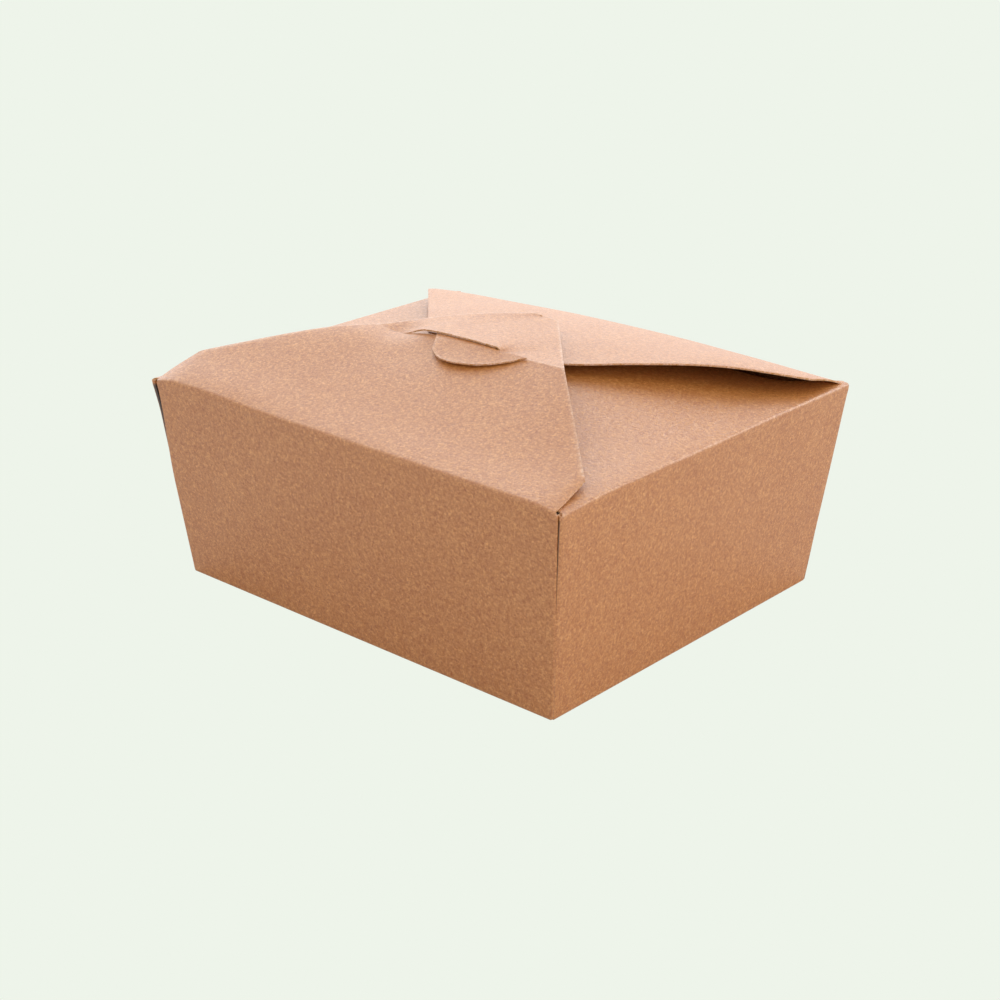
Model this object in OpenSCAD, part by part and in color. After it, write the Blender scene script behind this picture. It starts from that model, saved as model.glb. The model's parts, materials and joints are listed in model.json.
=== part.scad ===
// Takeaway box folded from one sheet of kraft board, closed for carrying.
// Millimetres. X runs along the long sides, the front is at -Y, and Z is up from the table.
// Every panel is drawn on the middle of the board and given half the board on each side.

/* [Tray] */
// Length of the base between its folds
base_l = 149; // [125:1:190]
// Width of the base between its folds
base_w = 125.5; // [110:0.5:160]
// Height of the rim folds above the table
rim_h = 65; // [45:1:90]
// How far each wall leans out between base and rim
flare = 6.9; // [3:0.1:11]
// Thickness of the board
board = 0.5; // [0.4:0.05:0.7]
// How much a scored fold swells past the board's thickness
score_swell = 0.06; // [0.02:0.02:0.14]

/* [Web corners] */
// How far the tip of a folded web lies below the rim
web_drop = 8; // [3:1:25]
// Air between the layers folded against a short wall
layer_air = 0.14; // [0.1:0.02:0.3]

/* [Front flap] */
// Distance in plan from the front rim to the crease
crease_in = 53.8; // [46:0.2:58]
// Distance in plan from the crease to the tip
tip_out = 37.1; // [25:0.1:45]
// Width of the blunt tip
tip_w = 9.2; // [4:0.2:20]
// Height of the crease over the rim, at its middle
crease_rise = 15.4; // [12:0.1:20]
// How much higher the crease's right end is than its middle
crease_lift = 1.1; // [0:0.05:2]
// How much higher the tip is than the crease
tip_rise = 0.9; // [0:0.1:2]
// Distance in plan from the front rim to the flap's shoulders
front_shoulder_in = 15.8; // [10:0.2:22]
// How far the shoulders lie inside the rim's ends
front_shoulder_inset = 3.4; // [1:0.1:8]
// Upward bow of the main panel, at its middle
panel_bow = 0.3; // [0:0.05:1]
// How much the bow falls from the middle to the right shoulder
bow_fall = 2.5; // [0:0.1:2.8]

/* [Hook] */
// Width of the neck where the rear flap passes the slit
neck_w = 23.4; // [18:0.1:26]
// How far the hook reaches past the neck, to the right
hook_reach = 12.9; // [6:0.1:14]
// Depth of the hook's round, from the crease
hook_depth = 11.4; // [8:0.1:16]
// Spare length of the slit, by which the hook can slip in
slit_spare = 3.4; // [2:0.1:8]
// Slit beyond the neck's right side
slit_end = 2.3; // [2:0.1:4]
// Board left between the slit and the ends of the crease
crease_margin = 12; // [8:0.1:16]
// Air between boards that lie on each other at the hook
hook_air = 0.18; // [0.1:0.02:0.3]
// Dip of both lips at the slit's left end
slit_dip = 1.0; // [0:0.1:1.4]
// Swell of the lower lip beside the neck
lip_swell = 0.9; // [0:0.05:1]

/* [Rear flap] */
// Height of the rear flap just before its neck, over the rim
rear_rise = 15.2; // [11:0.1:16]
// Share of that height gained in the roll next to the fold
roll_share = 0.82; // [0.5:0.02:0.86]
// Length of the roll, as distance in plan
roll_len = 16.5; // [8:0.5:25]
// Distance in plan from the rear rim to the flap's shoulders
rear_shoulder_in = 18.1; // [10:0.1:24]
// How far the shoulders lie inside the rim's ends
rear_shoulder_inset = 1.0; // [0.4:0.1:8]
// Width where the taper ends, under the front flap
throat_w = 42; // [36:1:50]
// Distance in plan from the throat to the crease
throat_out = 6; // [4:0.5:9]

/* [Side flaps] */
// Distance in plan that the side flaps reach in from their rims
side_reach = 62; // [45:1:66]
// How far the ends of their folds lie inside the rim's ends
side_corner_inset = 3; // [1:0.5:6]
// Distance in plan to their shoulders
side_shoulder_in = 12; // [8:1:20]
// How far the shoulders lie inside the rim's ends
side_shoulder_inset = 16; // [12:0.5:22]
// Width of their inner edge
side_tip_w = 72; // [40:1:80]
// Height gained in the roll next to the fold
side_roll = 1.2; // [0.5:0.1:2.2]
// Height gained per millimetre beyond it
side_slope = 0.055; // [0.02:0.005:0.06]

/* [Hidden] */
// Air between the front flap's fold and the wall under it
fold_air = 0.1;
// Air between the ends of the front flap's fold and the folded corners
fold_end_air = 0.3;
// How far the edge of a short wall stays behind the face of a long wall
edge_set = 0.3;
// Reach of the lips' rise and fall into the two panels of the front flap
lip_fade_tip = 20;
lip_fade_panel = 14;
// Lengths over which the slit opens from its left and its right end
open_left = 6;
open_right = 2;
// Half widths of the dip and of the swell along the slit
dip_half = 7;
swell_half = 17;
// Place and half width of the rear flap's arch along the rim, and its twist
arch_off = 25;
arch_half = 123;
rear_twist = 1.5;
// Length before the crease over which the neck rises to the slit, and how late it does
neck_blend = 8;
neck_bend = 1.5;
// How far the hook's straight edge stays behind the crease, the length over which it steps back,
// and how far round its end goes
hook_set = 0.3;
hook_step = 1;
hook_round = 0.97;
// Length of the roll of the side flaps
side_roll_len = 12;
// How much closer the rows of a flap lie at its fold than at its end
crowding = 1.6;
kraft_wall = [0.70, 0.50, 0.34];
kraft_flap = [0.86, 0.70, 0.56];

top_l = base_l + 2 * flare;
top_w = base_w + 2 * flare;
axis_z = rim_h - board / 2;
wall_run = axis_z - board / 2;
lean = atan(flare / wall_run);
slant = wall_run / cos(lean);
side_lean = atan(flare / slant);
web_angle = (90 - 2 * side_lean) / 2;
layer = board + layer_air;
bead = board + score_swell;
rim_half = top_l / 2 - 2 * layer;
side_half = top_w / 2 - edge_set;
front_y = -top_w / 2;
rear_y = top_w / 2;
crease_y = front_y + crease_in;
ridge_in = top_w - crease_in;
neck_left = -neck_w / 2;
neck_right = neck_w / 2;
slit_right = neck_right + slit_end;
slit_left = slit_right - neck_w - hook_reach - slit_spare;
crease_half = crease_margin - slit_left;
stack = board + hook_air;

function lerp(a, b, t) = a + (b - a) * t;
function clamp01(t) = min(1, max(0, t));
function ramp(t) = let (c = clamp01(t)) c * c * (3 - 2 * c);
function bell(x, mid, half) = exp(-pow((x - mid) / half, 2));
function steps(a, b, n) = [for (i = [0 : n]) lerp(a, b, i / n)];
function tail(list) = [for (i = [1 : len(list) - 1]) list[i]];
function rising(a, b, n) = [for (i = [0 : n]) lerp(a, b, pow(i / n, crowding))];

// Heights over the rim folds, in plan coordinates
function crease_z(x) = crease_rise + crease_lift * x / crease_half;
function lip_low(x) = lip_swell * bell(x, 0, swell_half) - slit_dip * bell(x, slit_left, dip_half);
function lip_gap(x) = 2 * stack * ramp((x - slit_left) / open_left) * ramp((slit_right - x) / open_right);
function panel_z(x, d) = let (
    u = d / crease_in,
    bow = panel_bow - bow_fall * x / (top_l / 2),
    near = pow(clamp01(1 - (crease_in - d) / lip_fade_panel), 2)
  ) u * crease_z(x) + 4 * u * (1 - u) * bow + lip_low(x) * near;
function tip_z(x, v) = let (
    fade = clamp01(1 - v / lip_fade_tip)
  ) crease_z(x * (1 - v / tip_out)) + tip_rise * v / tip_out + (lip_low(x) + lip_gap(x)) * fade;
function hook_z(x, v) = panel_z(x, crease_in - v) + stack;
function rear_z(x, d) = let (
    q = d / ridge_in,
    drift = 1 - rear_twist * x / (top_l / 2),
    arch = 1 - pow((x - arch_off) / arch_half, 2),
    sheet = rear_rise * ((1 - roll_share) * q * drift + roll_share * (1 - exp(-d / roll_len)) * arch)
  ) lerp(sheet, hook_z(x, 0), pow(clamp01(1 - (ridge_in - d) / neck_blend), neck_bend));
function side_z(d) = side_roll * (1 - exp(-d / side_roll_len)) + side_slope * d;

// Half width of a flap's outline, as straight runs through [distance, half width] points
function outline(points, d) = lookup(d, points);
front_outline = [
  [0, rim_half - fold_end_air],
  [front_shoulder_in, rim_half - front_shoulder_inset],
  [crease_in, crease_half],
  [crease_in + tip_out, tip_w / 2]
];
rear_outline = [
  [0, rim_half],
  [rear_shoulder_in, rim_half - rear_shoulder_inset],
  [ridge_in - throat_out, throat_w / 2],
  [ridge_in - throat_out / 2, neck_w / 2],
  [ridge_in, neck_w / 2]
];
side_outline = [
  [0, side_half - side_corner_inset],
  [side_shoulder_in, side_half - side_shoulder_inset],
  [side_reach, side_tip_w / 2]
];

// A sheet of board through rows of points on its middle surface
module card(rows) {
  m = len(rows);
  n = len(rows[0]);
  function thick(i, j) = let (
      a = rows[max(0, i - 1)][j],
      b = rows[min(m - 1, i + 1)][j],
      run = norm([b[0] - a[0], b[1] - a[1]])
    ) board / 2 * sqrt(1 + pow((b[2] - a[2]) / run, 2));
  points = [
    for (side = [1, -1]) for (i = [0 : m - 1]) for (j = [0 : n - 1])
      rows[i][j] + [0, 0, side * thick(i, j)]
  ];
  function top(i, j) = i * n + j;
  function low(i, j) = m * n + i * n + j;
  faces = [
    for (i = [0 : m - 2]) for (j = [0 : n - 2]) each [
      [top(i, j), top(i + 1, j), top(i + 1, j + 1)],
      [top(i, j), top(i + 1, j + 1), top(i, j + 1)],
      [low(i, j), low(i + 1, j + 1), low(i + 1, j)],
      [low(i, j), low(i, j + 1), low(i + 1, j + 1)]
    ],
    for (j = [0 : n - 2]) each [
      [top(0, j), top(0, j + 1), low(0, j + 1)],
      [top(0, j), low(0, j + 1), low(0, j)],
      [top(m - 1, j), low(m - 1, j + 1), top(m - 1, j + 1)],
      [top(m - 1, j), low(m - 1, j), low(m - 1, j + 1)]
    ],
    for (i = [0 : m - 2]) each [
      [top(i, 0), low(i + 1, 0), top(i + 1, 0)],
      [top(i, 0), low(i, 0), low(i + 1, 0)],
      [top(i, n - 1), top(i + 1, n - 1), low(i + 1, n - 1)],
      [top(i, n - 1), low(i + 1, n - 1), low(i, n - 1)]
    ]
  ];
  polyhedron(points, faces, convexity = 4);
}

// A straight scored fold between two points
module fold(a, b, d = bead) {
  run = b - a;
  translate(a)
    rotate([0, acos(run[2] / norm(run)), atan2(run[1], run[0])])
      cylinder(h = norm(run), d = d, $fn = 24);
}

// A flat panel: an outline in the panel's own plane, u along the fold and v up the slope
module panel(points) {
  translate([0, 0, -board / 2]) linear_extrude(board) polygon(points);
}

// Places a panel on the fold between the base and one wall
module on_wall(turn, out) {
  rotate([0, 0, turn])
    translate([0, -out, board / 2])
      rotate([90 + lean, 0, 0])
        children();
}

function web_tip(half) = let (
    rise = slant - web_drop,
    inwards = rise * tan(web_angle - side_lean)
  ) [half - inwards, rise];

// Base with its four folds
module base() {
  translate([-base_l / 2, -base_w / 2, 0]) cube([base_l, base_w, board]);
  for (s = [-1, 1]) {
    fold([-base_l / 2 + layer * 2, s * base_w / 2, bead / 2], [base_l / 2 - layer * 2, s * base_w / 2, bead / 2]);
    fold([s * base_l / 2, -base_w / 2 + edge_set, bead / 2], [s * base_l / 2, base_w / 2 - edge_set, bead / 2]);
  }
}

// A long wall, from the base to just under the rim fold
module long_wall(turn, stop = 0) {
  bottom = base_l / 2 - 2 * layer;
  on_wall(turn, base_w / 2)
    panel([[-bottom, 0], [bottom, 0], [rim_half, slant - stop], [-rim_half, slant - stop]]);
}

// A short wall with the two webs that lie folded against its inside
module short_wall(turn) {
  bottom = base_w / 2 - edge_set;
  on_wall(turn, base_l / 2) {
    panel([[-bottom, 0], [bottom, 0], [side_half, slant], [-side_half, slant]]);
    for (s = [-1, 1]) {
      tip = web_tip(bottom);
      foot = [s * bottom, 0];
      head = [s * side_half, slant - board];
      apex = [s * tip[0], tip[1]];
      for (k = [1, 2]) translate([0, 0, -k * layer]) panel([foot, head, apex]);
      fold([foot[0], foot[1], -layer / 2], [head[0], head[1], -layer / 2], layer + bead);
      fold([foot[0], foot[1], -1.5 * layer], [apex[0], apex[1], -1.5 * layer], layer + bead);
    }
  }
}

// The fold that joins a long wall to the inner layer of a web
module corner_folds() {
  for (sx = [-1, 1]) for (sy = [-1, 1])
    fold(
      [sx * (base_l / 2 - 2 * layer), sy * base_w / 2, board / 2],
      [sx * rim_half, sy * top_w / 2, axis_z - board]
    );
}

// Right or left flap, which folds down first
module side_flap(s) {
  rows = [
    for (d = rising(0, side_reach, 8)) [
      for (f = steps(-1, 1, 6)) [s * (top_l / 2 - d), f * s * outline(side_outline, d), axis_z + side_z(d)]
    ]
  ];
  card(rows);
  fold([s * top_l / 2, -side_half, axis_z], [s * top_l / 2, side_half, axis_z]);
}

// Rear flap up to the crease, bent over its fold in a soft roll
module rear_sheet() {
  stops = concat(
    rising(0, rear_shoulder_in, 5),
    tail(steps(rear_shoulder_in, ridge_in - throat_out, 9)),
    [ridge_in - throat_out / 2, ridge_in]
  );
  rows = [
    for (d = stops) [
      for (f = steps(1, -1, 16)) let (x = f * outline(rear_outline, d)) [x, rear_y - d, axis_z + rear_z(x, d)]
    ]
  ];
  card(rows);
  fold([-rim_half, rear_y, axis_z], [rim_half, rear_y, axis_z]);
}

// The hook: a round end on the neck, whose right side reaches past the slit
module hook() {
  chord = neck_w + hook_reach;
  mid = neck_left + chord / 2;
  radius = (pow(chord / 2, 2) + pow(hook_depth, 2)) / (2 * hook_depth);
  rows = [
    for (a = steps(0, 90, 9)) let (v = hook_depth * (1 - cos(a)) * hook_round) [
      for (f = steps(1, -1, 14)) let (
          half = sqrt(pow(radius, 2) - pow(radius - hook_depth + v, 2)),
          x = mid + f * half,
          back = hook_set * clamp01((x - neck_right) / hook_step) * (1 - v / hook_depth)
        ) [x, crease_y - v - back, axis_z + hook_z(x, v + back)]
    ]
  ];
  card(rows);
}

// Front flap: the main panel and the tip are one sheet, parted only along the slit
module front_sheet() {
  across = concat(
    steps(-crease_half, slit_left, 3),
    tail(steps(slit_left, slit_left + open_left, 4)),
    tail(steps(slit_left + open_left, slit_right - open_right, 10)),
    tail(steps(slit_right - open_right, slit_right, 3)),
    tail(steps(slit_right, crease_half, 4))
  );
  share = [for (x = across) x / crease_half];
  panel_stops = concat(rising(0, front_shoulder_in, 3), tail(steps(front_shoulder_in, crease_in, 8)));
  tip_stops = steps(0, tip_out, 6);
  card([
    for (d = panel_stops) [
      for (f = share) let (x = f * outline(front_outline, d)) [x, front_y + d, axis_z + panel_z(x, d)]
    ]
  ]);
  card([
    for (v = tip_stops) [
      for (f = share) let (x = f * outline(front_outline, crease_in + v)) [x, crease_y + v, axis_z + tip_z(x, v)]
    ]
  ]);
}

module folded_box() {
  color(kraft_wall) {
    base();
    long_wall(0, bead / 2 + fold_air);
    long_wall(180);
    short_wall(90);
    short_wall(-90);
    corner_folds();
  }
  color(kraft_flap) {
    side_flap(1);
    side_flap(-1);
    rear_sheet();
    hook();
  }
}

module front_flap() {
  color(kraft_flap) {
    front_sheet();
    fold([-rim_half + fold_end_air, front_y, axis_z], [rim_half - fold_end_air, front_y, axis_z]);
  }
}

folded_box();
front_flap();
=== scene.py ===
"""Looks of a closed takeaway box, folded from one sheet of kraft board.

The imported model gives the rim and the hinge. Each run of board is drawn flat or simply folded on its middle
surface, raised to its bowed form by a Geometry Nodes tree, and given its thickness and its cut edges.
Lengths are in millimetres until a piece is finished, and a finished mesh is in metres.
"""

import json
import logging
import math
from collections.abc import Callable
from dataclasses import asdict, dataclass, fields
from enum import Enum
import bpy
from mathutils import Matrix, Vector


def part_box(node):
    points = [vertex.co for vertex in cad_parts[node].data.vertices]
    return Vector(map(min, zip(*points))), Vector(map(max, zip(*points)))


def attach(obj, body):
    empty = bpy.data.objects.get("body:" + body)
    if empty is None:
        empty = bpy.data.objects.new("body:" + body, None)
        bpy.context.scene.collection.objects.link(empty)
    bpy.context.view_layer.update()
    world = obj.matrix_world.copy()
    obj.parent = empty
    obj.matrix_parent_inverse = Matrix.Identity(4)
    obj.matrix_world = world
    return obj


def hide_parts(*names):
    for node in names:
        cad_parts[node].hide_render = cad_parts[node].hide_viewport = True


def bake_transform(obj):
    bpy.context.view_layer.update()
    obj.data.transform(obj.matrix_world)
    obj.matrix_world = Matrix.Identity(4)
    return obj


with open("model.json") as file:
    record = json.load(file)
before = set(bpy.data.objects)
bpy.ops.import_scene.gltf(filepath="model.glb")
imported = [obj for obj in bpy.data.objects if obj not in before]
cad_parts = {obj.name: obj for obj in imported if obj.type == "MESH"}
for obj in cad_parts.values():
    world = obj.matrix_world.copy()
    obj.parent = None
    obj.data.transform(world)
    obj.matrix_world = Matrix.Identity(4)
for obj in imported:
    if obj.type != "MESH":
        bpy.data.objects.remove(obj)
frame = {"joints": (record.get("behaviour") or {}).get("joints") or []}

from types import SimpleNamespace

import bpy
import numpy as np
from mathutils import Matrix, Vector

MM = 0.001
# Reach of the lighter line along folds and cut edges: worn fibres, and along cut edges a painted highlight.
WEAR_AND_HIGHLIGHT_REACH = 1.4
log = logging.getLogger("takeaway_box")


# Sums in node trees


@dataclass(frozen=True)
class Term:
    """A number inside a node tree. Sums written with it add Math nodes."""

    graph: "Graph"
    socket: bpy.types.NodeSocket

    def math(self, operation: str, *values: object) -> "Term":
        """Adds one Math node.

        Args:
            operation: The Math node's operation.
            values: Its inputs, in order.

        Returns:
            The node's result.
        """
        return self.graph.term("ShaderNodeMath", {"operation": operation}, dict(enumerate(values)))

    def __add__(self, other: object) -> "Term":
        """Sum."""
        return self.math("ADD", self, other)

    def __radd__(self, other: object) -> "Term":
        """Sum with a number on the left."""
        return self.math("ADD", other, self)

    def __sub__(self, other: object) -> "Term":
        """Difference."""
        return self.math("SUBTRACT", self, other)

    def __rsub__(self, other: object) -> "Term":
        """Difference with a number on the left."""
        return self.math("SUBTRACT", other, self)

    def __mul__(self, other: object) -> "Term":
        """Product."""
        return self.math("MULTIPLY", self, other)

    def __rmul__(self, other: object) -> "Term":
        """Product with a number on the left."""
        return self.math("MULTIPLY", other, self)

    def __truediv__(self, other: object) -> "Term":
        """Quotient."""
        return self.math("DIVIDE", self, other)

    def __rtruediv__(self, other: object) -> "Term":
        """Quotient with a number on the left."""
        return self.math("DIVIDE", other, self)

    def __pow__(self, other: object) -> "Term":
        """Power."""
        return self.math("POWER", self, other)

    def __neg__(self) -> "Term":
        """Opposite."""
        return self.math("MULTIPLY", self, -1.0)

    def __abs__(self) -> "Term":
        """Size without its sign."""
        return self.math("ABSOLUTE", self)

    def exp(self) -> "Term":
        """Exponential."""
        return self.math("EXPONENT", self)

    def clamped(self) -> "Term":
        """The number held between 0 and 1."""
        return self.math("MINIMUM", self.math("MAXIMUM", self, 0.0), 1.0)

    def positive(self) -> "Term":
        """One above 0, and 0 from there down."""
        return (self * 1000.0).clamped()

    def ramp(self) -> "Term":
        """A smooth step from 0 to 1."""
        held = self.clamped()
        return held * held * (3.0 - 2.0 * held)

    def ridge(self) -> "Term":
        """One where the number is a half, falling to 0 on both sides, as along a thread of noise."""
        return 1.0 - abs(self * 2.0 - 1.0)


def bell(x: Term, middle: object, half: object) -> Term:
    """A bell curve of height 1.

    Args:
        x: Where it is read.
        middle: Where its top is.
        half: Its half width.

    Returns:
        Its height at x.
    """
    share = (x - middle) / half
    return (-(share * share)).exp()


class Graph:
    """A node tree that is filled by Python expressions."""

    def __init__(self, tree: bpy.types.NodeTree) -> None:
        """Wraps a tree.

        Args:
            tree: The tree that nodes are added to.
        """
        self.tree = tree

    def node(self, kind: str, settings: dict | None = None, sockets: dict | None = None) -> bpy.types.Node:
        """Adds a node.

        Args:
            kind: The node's type.
            settings: Its own settings, set first. For a ramp, stops is a list of (place, colour).
            sockets: Values or links of its inputs, by name or by index.

        Returns:
            The node.
        """
        node = self.tree.nodes.new(kind)
        for name, value in (settings or {}).items():
            if name == "stops":
                self._set_stops(node.color_ramp, value)
            else:
                setattr(node, name, value)
        for key, value in (sockets or {}).items():
            source = value.socket if isinstance(value, Term) else value
            if isinstance(source, bpy.types.NodeSocket):
                self.tree.links.new(source, node.inputs[key])
            else:
                node.inputs[key].default_value = source
        return node

    def term(
        self, kind: str, settings: dict | None = None, sockets: dict | None = None, output: int | str = 0
    ) -> Term:
        """Adds a node and takes one of its outputs.

        Args:
            kind: The node's type.
            settings: Its own settings.
            sockets: Values or links of its inputs.
            output: The output's name or index.

        Returns:
            That output, for use in sums.
        """
        return Term(self, self.node(kind, settings, sockets).outputs[output])

    @staticmethod
    def _set_stops(ramp: bpy.types.ColorRamp, stops: list[tuple[float, tuple]]) -> None:
        """Sets a ramp's stops.

        Args:
            ramp: The ramp.
            stops: Place and colour of each stop, from left to right.
        """
        while len(ramp.elements) < len(stops):
            ramp.elements.new(0.5)
        for element, (place, colour) in zip(ramp.elements, stops):
            element.position = place
            element.color = colour


# Sizes


@dataclass(frozen=True)
class TraySizes:
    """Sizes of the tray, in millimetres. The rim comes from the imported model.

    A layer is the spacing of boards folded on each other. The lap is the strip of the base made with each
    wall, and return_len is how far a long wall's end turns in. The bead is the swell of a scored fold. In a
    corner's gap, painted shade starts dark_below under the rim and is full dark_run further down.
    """

    axis_z: float
    top_l: float
    top_w: float
    board: float = 0.5
    flare: float = 6.9
    layer: float = 0.64
    web_drop: float = 8.0
    rim_radius: float = 0.42
    foot_radius: float = 0.3
    corner_radius: float = 0.3
    bead_below: float = 1.7
    bead_half: float = 0.8
    bead_out: float = 0.1
    dark_below: float = 1.1
    dark_run: float = 0.6
    lap: float = 1.2
    side_inset_foot: float = 0.65
    side_inset_head: float = 0.85
    return_len: float = 2.6

    @classmethod
    def from_frame(cls) -> "TraySizes":
        """Reads the rim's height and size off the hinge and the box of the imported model.

        Returns:
            The sizes.
        """
        hinge = frame["joints"][0]["pos_m"]
        low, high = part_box("folded_box")
        bead = 0.56
        return cls(
            axis_z=hinge[2] / MM,
            top_l=(high.x - low.x) / MM - bead,
            top_w=-2.0 * hinge[1] / MM,
        )

    @property
    def base_l(self) -> float:
        """Length of the base."""
        return self.top_l - 2 * self.flare

    @property
    def base_w(self) -> float:
        """Width of the base."""
        return self.top_w - 2 * self.flare

    @property
    def front_y(self) -> float:
        """Place of the front rim."""
        return -self.top_w / 2

    @property
    def floor(self) -> float:
        """Height of the base's middle surface."""
        return self.board / 2

    @property
    def slant(self) -> float:
        """Height of a wall, measured on the wall."""
        return math.hypot(self.axis_z - self.floor, self.flare)

    @property
    def lean(self) -> float:
        """How far a wall leans out from upright."""
        return math.atan(self.flare / (self.axis_z - self.floor))


@dataclass(frozen=True)
class LidRule:
    """The form that the closed front and rear flap share, in millimetres over the rim.

    A rise, dip or swell has its middle at the size that ends in at, and half its width in the one that ends
    in half. A size that ends in run is the length over which a form grows, from where in, from or end says.
    """

    top_l: float
    top_w: float
    crease_in: float = 53.8
    crease_half: float = 37.7
    crease_rise: float = 15.4
    crease_lift: float = 1.1
    tip_out: float = 37.1
    tip_rise: float = 0.9
    tip_swell: float = 0.2
    tip_swell_at: float = 20.0
    tip_swell_half: float = 15.0
    tip_twist: float = 0.15
    tip_turn_run: float = 8.0
    panel_bow: float = 0.3
    bow_fall: float = 2.5
    left_bulge: float = 1.25
    bulge_at: float = 44.0
    bulge_before: float = 18.0
    bulge_after: float = 9.5
    bulge_from: float = 0.2
    slit_left: float = -27.2
    slit_right: float = 14.4
    slit_dip: float = 1.3
    dip_half: float = 7.0
    lip_swell: float = 0.9
    swell_half: float = 17.0
    lip_peak: float = 0.55
    peak_at: float = -14.0
    peak_half: float = 11.0
    stack: float = 0.68
    open_left: float = 11.0
    left_widening: float = 0.4
    left_softening: float = 0.8
    open_right: float = 2.0
    right_widening: float = 0.8
    right_softening: float = 1.6
    fade_tip: float = 36.0
    fade_end: float = 7.0
    fade_panel: float = 14.0
    rear_rise: float = 14.95
    roll_share: float = 0.82
    roll_len: float = 16.5
    arch_off: float = 25.0
    arch_half: float = 117.0
    rear_twist: float = 1.5
    neck_blend: float = 8.0
    neck_curve: float = 1.5
    rim_rise: float = 0.95
    rim_end: float = 81.2
    rim_end_run: float = 10.0
    left_rim_rise: float = 0.85
    left_rim_at: float = -60.0
    left_rim_half: float = 20.0
    corner_rise: float = 1.1
    corner_from: float = 52.0
    corner_run: float = 27.0
    corner_in_run: float = 18.0
    corner_fall: float = 0.6
    corner_fall_at: float = -81.0
    corner_fall_half: float = 16.0
    right_rise: float = 0.95
    right_at: float = 58.0
    right_half: float = 16.0
    right_in: float = 15.0
    right_in_run: float = 20.0
    right_sink: float = 0.6
    sink_at: float = 28.0
    sink_half: float = 12.0
    sink_in: float = 45.0
    sink_in_run: float = 25.0
    hook_side: float = 0.45
    hook_side_run: float = 9.0
    hook_side_in_run: float = 3.0
    hook_lift: float = 1.0
    hook_curve: float = 1.3
    hook_deep: float = 11.4
    ripple: float = 0.16
    ripple_len: float = 34.0
    seed: float = 3.0


@dataclass(frozen=True)
class SideRule:
    """The form of the right and left flap, in millimetres over the rim."""

    roll: float = 1.2
    roll_len: float = 12.0
    slope: float = 0.055
    left_forward: float = 0.65
    right_lift: float = 0.09
    lift_front: float = 56.0
    lift_front_run: float = 50.0
    lift_rear: float = 62.0
    lift_rear_run: float = 45.0
    rim_fall: float = 0.6
    rim_fall_at: float = -72.0
    rim_fall_half: float = 14.0
    rim_rise: float = 0.72
    rim_from: float = -74.0
    rim_run: float = 30.0
    far_rim_rise: float = 0.3
    far_from: float = -5.0
    far_run: float = 40.0
    ripple: float = 0.2
    ripple_len: float = 30.0
    seed: float = 8.0


@dataclass(frozen=True)
class Hook:
    """Outline of the hook on the rear flap's neck: place along the crease, and distance in front of it."""

    neck_half: float = 11.7
    rows: int = 16
    row_crowding: float = 1.5
    ear_columns: int = 22
    ear_slope: float = 0.5
    # Lines round the hook's cut edge whose colour is lightened: a painted highlight, partly worn fibres.
    worn_lines: int = 14
    worn: float = 0.9
    outline: tuple = (
        (-11.7, 0.0),
        (-9.75, 2.6),
        (-8.25, 4.95),
        (-7.0, 6.9),
        (-5.9, 8.2),
        (-4.35, 9.35),
        (-2.1, 10.5),
        (0.3, 11.2),
        (3.3, 11.38),
        (6.6, 10.92),
        (9.8, 10.1),
        (12.7, 9.05),
        (15.2, 7.7),
        (17.6, 6.05),
        (19.8, 4.3),
        (21.8, 2.35),
        (23.2, 0.95),
        (24.2, 0.3),
    )

    def edge(self, count: int) -> np.ndarray:
        """Even places along the outline.

        Args:
            count: How many.

        Returns:
            The places, from the neck's left side round to the ear.
        """
        corners = np.array(self.outline)
        steps = np.concatenate([[0.0], np.cumsum(np.linalg.norm(np.diff(corners, axis=0), axis=1))])
        wanted = np.linspace(0, steps[-1], count)
        slopes = np.gradient(corners, steps, axis=0)
        index = np.clip(np.searchsorted(steps, wanted) - 1, 0, len(steps) - 2)
        span = (steps[index + 1] - steps[index])[:, None]
        t = (wanted - steps[index])[:, None] / span
        return (
            (1 + 2 * t) * (1 - t) ** 2 * corners[index]
            + t * (1 - t) ** 2 * span * slopes[index]
            + t * t * (3 - 2 * t) * corners[index + 1]
            + t * t * (t - 1) * span * slopes[index + 1]
        )


@dataclass(frozen=True)
class Opening:
    """How far a long wall's end stands back from its corner, from foot to rim."""

    amount: float
    start: float
    span: float

    def at(self, share: float) -> float:
        """The distance at a share of the wall's height."""
        t = min(1.0, max(0.0, (share - self.start) / self.span))
        return self.amount * t * t * (3 - 2 * t)


class Corner(Enum):
    """The upright corners, each with the opening of its long wall."""

    FRONT_LEFT = Opening(2.1, 0.46, 0.5)
    FRONT_RIGHT = Opening(1.0, 0.08, 0.95)
    REAR = Opening(1.0, 0.0, 0.9)


# Outlines and grids


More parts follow.
